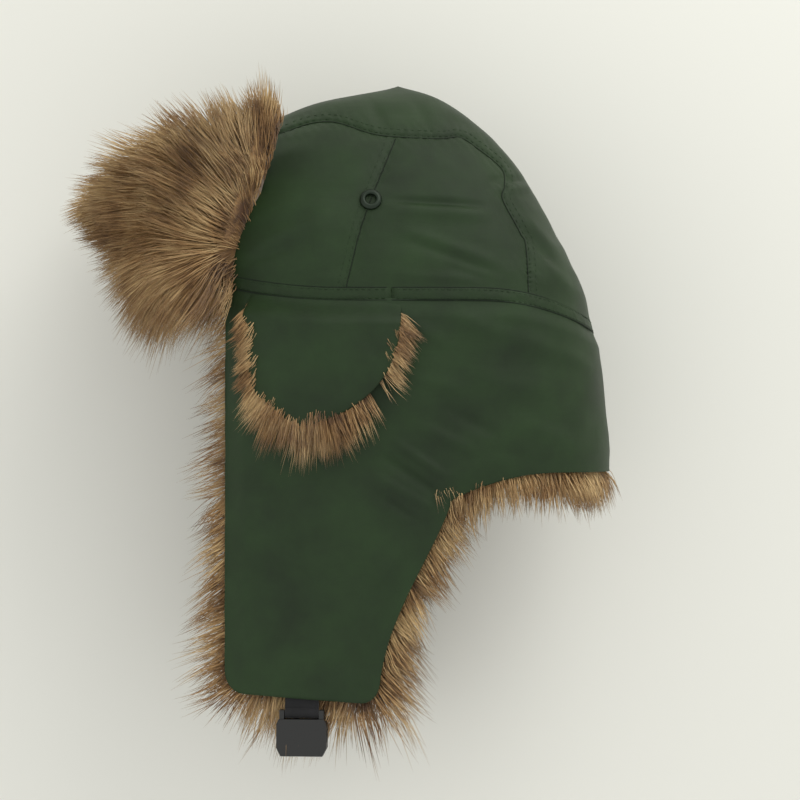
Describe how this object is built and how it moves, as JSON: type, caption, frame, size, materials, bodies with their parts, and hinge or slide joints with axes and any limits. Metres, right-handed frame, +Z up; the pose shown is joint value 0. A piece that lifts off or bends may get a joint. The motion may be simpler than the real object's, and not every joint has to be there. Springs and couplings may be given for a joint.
{
  "type": "trapper hat",
  "caption": "Padded nylon trapper hat with a turned-up fur front flap, long fur-lined ear flaps, ear covers, a neck guard and a side-release chin buckle.",
  "frame": {"origin": "middle of the head opening, at the height of the crown seam over the ears", "axes": "+Z up towards the peak of the crown, -Y towards the front flap, +X towards the wearer's left ear"},
  "size_m": [0.2046, 0.3279, 0.4009],
  "materials": {
    "shell_fabric": "tight dark green nylon with a soft sheen",
    "faux_fur": "long brown pile with tan middles and dark tips",
    "lining_satin": "smooth black lining",
    "batting": "white polyester wadding",
    "webbing": "black woven webbing",
    "hook_loop": "dark hook and loop tape",
    "buckle_plastic": "fine matte black acetal",
    "eyelet_metal": "dark green painted eyelet"
  },
  "bodies": {
    "crown": {"crown_top_panel": "shell_fabric", "crown_left_front_panel": "shell_fabric", "crown_left_rear_panel": "shell_fabric", "crown_right_front_panel": "shell_fabric", "crown_right_rear_panel": "shell_fabric", "crown_band": "shell_fabric", "crown_batting": "batting", "crown_lining": "lining_satin", "left_vent_eyelet": "eyelet_metal", "right_vent_eyelet": "eyelet_metal", "left_eyelet_washer": "eyelet_metal", "right_eyelet_washer": "eyelet_metal", "neck_guard_shell": "shell_fabric", "neck_guard_batting": "batting", "neck_guard_fur": "faux_fur"},
    "front_flap": {"front_flap_shell": "shell_fabric", "front_flap_batting": "batting", "front_flap_fur": "faux_fur"},
    "left_ear_flap": {"left_flap_shell": "shell_fabric", "left_flap_batting": "batting", "left_flap_fur": "faux_fur", "left_hook_patch": "hook_loop", "left_strap_tail": "webbing"},
    "left_ear_cover": {"left_loop_patch": "hook_loop", "left_cover_fur": "faux_fur", "left_cover_shell": "shell_fabric"},
    "left_strap": {"left_strap_webbing": "webbing"},
    "right_ear_flap": {"right_flap_shell": "shell_fabric", "right_flap_batting": "batting", "right_flap_fur": "faux_fur", "right_hook_patch": "hook_loop", "right_strap_tail": "webbing"},
    "right_ear_cover": {"right_loop_patch": "hook_loop", "right_cover_fur": "faux_fur", "right_cover_shell": "shell_fabric"},
    "right_strap": {"right_strap_webbing": "webbing"},
    "socket": {"buckle_socket": "buckle_plastic"},
    "plug": {"buckle_plug": "buckle_plastic"},
    "rear_arm": {"plug_rear_arm": "buckle_plastic"},
    "front_arm": {"plug_front_arm": "buckle_plastic"}
  },
  "joints": [
    {"name": "front_flap_fold", "type": "hinge", "parent": "crown", "child": "front_flap", "pos_m": [0, -0.117, 0.012], "axis": [-1, 0, 0], "range_deg": [-85, 6]},
    {"name": "left_flap_fold", "type": "hinge", "parent": "crown", "child": "left_ear_flap", "pos_m": [0.103, -0.034, 0.002], "axis": [0, -1, 0], "range_deg": [-5, 150]},
    {"name": "right_flap_fold", "type": "hinge", "parent": "crown", "child": "right_ear_flap", "pos_m": [-0.103, -0.034, 0.002], "axis": [0, 1, 0], "range_deg": [-5, 150]},
    {"name": "left_cover_lift", "type": "hinge", "parent": "left_ear_flap", "child": "left_ear_cover", "pos_m": [0.1, -0.043, 0], "axis": [0.1736, 0.9848, 0], "range_deg": [-110, 0]},
    {"name": "right_cover_lift", "type": "hinge", "parent": "right_ear_flap", "child": "right_ear_cover", "pos_m": [-0.1, -0.043, 0], "axis": [0.1736, -0.9848, 0], "range_deg": [-110, 0]},
    {"name": "left_strap_swing", "type": "hinge", "parent": "left_ear_flap", "child": "left_strap", "pos_m": [0.07446, -0.05574, -0.23685], "axis": [-0.0896, -0.996, 0], "range_deg": [0, 75]},
    {"name": "right_strap_swing", "type": "hinge", "parent": "right_ear_flap", "child": "right_strap", "pos_m": [-0.07446, -0.05574, -0.23685], "axis": [-0.0896, 0.996, 0], "range_deg": [0, 75]},
    {"name": "socket_swing", "type": "hinge", "parent": "left_strap", "child": "socket", "pos_m": [0.07446, -0.05574, -0.24445], "axis": [-0.0896, -0.996, 0], "range_deg": [-20, 60]},
    {"name": "plug_swing", "type": "hinge", "parent": "right_strap", "child": "plug", "pos_m": [-0.07446, -0.05574, -0.24445], "axis": [-0.0896, 0.996, 0], "range_deg": [-20, 60]},
    {"name": "rear_arm_squeeze", "type": "hinge", "parent": "plug", "child": "rear_arm", "pos_m": [-0.07526, -0.04688, -0.25525], "axis": [-0.996, -0.0896, 0], "range_deg": [0, 8], "stiffness_Nm_per_rad": 0.02},
    {"name": "front_arm_squeeze", "type": "hinge", "parent": "plug", "child": "front_arm", "pos_m": [-0.07366, -0.0646, -0.25525], "axis": [0.996, 0.0896, 0], "range_deg": [0, 8], "stiffness_Nm_per_rad": 0.02}
  ],
  "couplings": [
    {"joint": "front_arm_squeeze", "follows": "rear_arm_squeeze", "ratio": 1}
  ]
}
